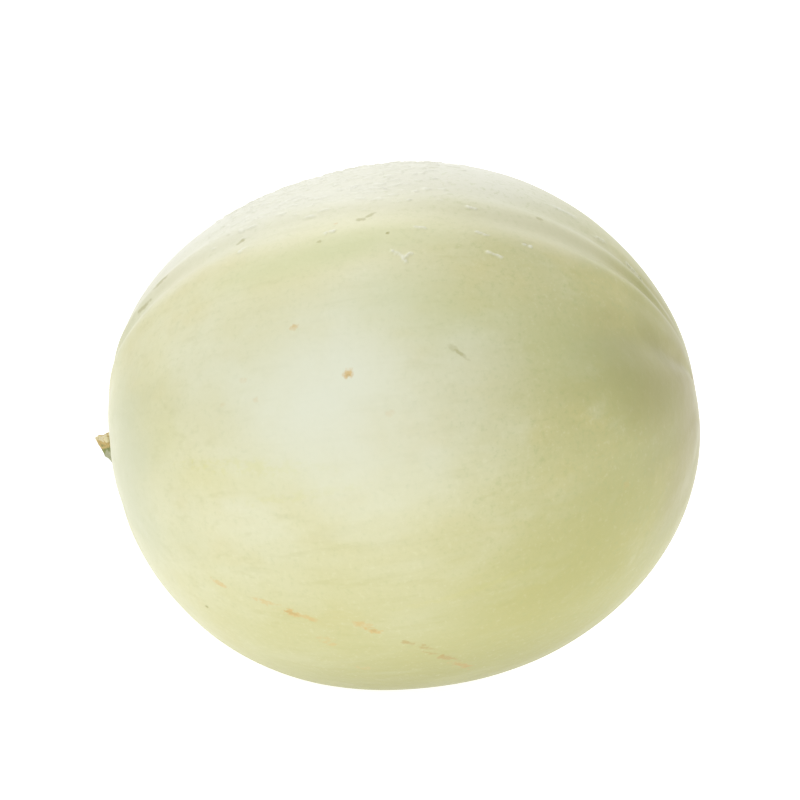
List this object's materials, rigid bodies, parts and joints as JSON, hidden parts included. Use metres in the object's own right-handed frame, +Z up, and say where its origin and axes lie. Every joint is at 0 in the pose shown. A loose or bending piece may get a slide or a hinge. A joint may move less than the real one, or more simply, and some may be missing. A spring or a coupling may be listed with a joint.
{
  "type": "honeydew melon",
  "caption": "Whole honeydew melon lying on its side: a pale green oval fruit with shallow lobes and a short dry stalk stub, resting on a small flat spot.",
  "frame": {"origin": "middle of the small flat spot that the fruit rests on", "axes": "+Z up; the fruit's long axis lies in the XZ plane, with the stalk end at -X and the blossom end at +X, about 9 degrees higher"},
  "size_m": [0.1924, 0.1652, 0.1648],
  "materials": {
    "rind": "satin",
    "dry_stalk": "matte"
  },
  "bodies": {
    "root": {"melon": "rind", "stem": "dry_stalk"}
  },
  "joints": []
}
